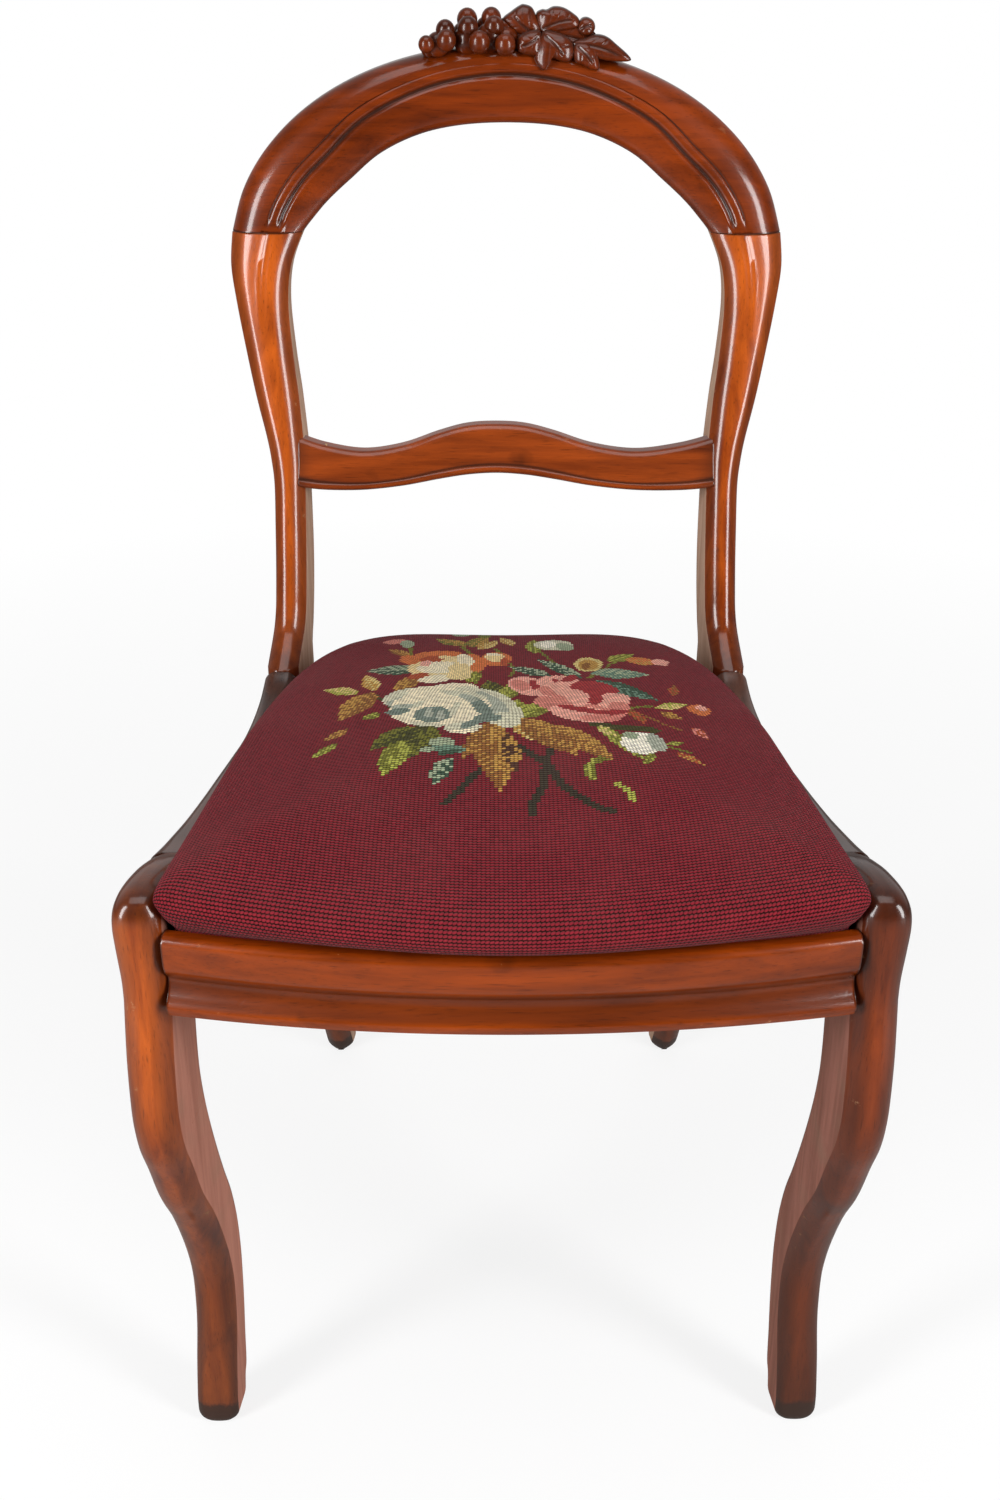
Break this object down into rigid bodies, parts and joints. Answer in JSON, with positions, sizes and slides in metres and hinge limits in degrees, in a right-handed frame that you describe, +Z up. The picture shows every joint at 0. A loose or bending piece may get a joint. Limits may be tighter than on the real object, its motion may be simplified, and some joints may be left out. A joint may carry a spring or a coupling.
{
  "type": "balloon back side chair",
  "caption": "Balloon back side chair: arched crest rail with carved grapes and vine leaf, serpentine cross rail, cabriole front legs, bowed front rail, lift-out floral needlepoint seat.",
  "frame": {"origin": "On the floor, under the middle of the chair's bounding box", "axes": "+Z up, the front of the seat faces -Y, the back rest stands at +Y, +X to the right as seen from the front"},
  "size_m": [0.4574, 0.545, 0.9081],
  "materials": {
    "polished_mahogany": "French polished, glossy, worn edges",
    "carved_mahogany": "dark stained carving under polish",
    "raw_beech": "sawn, unfinished",
    "seat_frame_pine": "planed, unfinished",
    "birch_dowels": "plain turned",
    "steel_screws": "dull steel",
    "tacks": "blued steel",
    "jute_webbing": "woven jute strap",
    "burlap": "coarse plain weave",
    "padding": "matted cotton felt",
    "needlepoint": "wool tent stitch on canvas",
    "dust_cloth": "thin black cloth"
  },
  "bodies": {
    "frame": {"left_front_leg": "polished_mahogany", "right_front_leg": "polished_mahogany", "left_leg_strip": "polished_mahogany", "left_back_post": "polished_mahogany", "right_back_post": "polished_mahogany", "left_side_rail": "polished_mahogany", "right_side_rail": "polished_mahogany", "front_rail": "polished_mahogany", "back_rail": "polished_mahogany", "crest_rail": "polished_mahogany", "cross_rail": "polished_mahogany", "grape_cluster": "carved_mahogany", "leaf_spray": "carved_mahogany", "front_left_block": "raw_beech", "front_right_block": "raw_beech", "rear_left_block": "raw_beech", "rear_right_block": "raw_beech", "block_screws": "steel_screws", "front_rail_dowels": "birch_dowels", "back_rail_dowels": "birch_dowels", "side_rail_front_dowels": "birch_dowels", "side_rail_rear_dowels": "birch_dowels", "crest_dowels": "birch_dowels", "cross_rail_dowels": "birch_dowels"},
    "seat": {"seat_frame_front": "seat_frame_pine", "seat_frame_back": "seat_frame_pine", "seat_frame_left": "seat_frame_pine", "seat_frame_right": "seat_frame_pine", "seat_frame_dowels": "birch_dowels", "long_webbing": "jute_webbing", "cross_webbing": "jute_webbing", "burlap": "burlap", "seat_padding": "padding", "seat_cover": "needlepoint", "cover_tacks": "tacks", "dust_cover": "dust_cloth"}
  },
  "joints": [
    {"name": "seat_lift", "type": "slide", "parent": "frame", "child": "seat", "axis": [0, 0, 1], "range_m": [0, 0.12]}
  ]
}
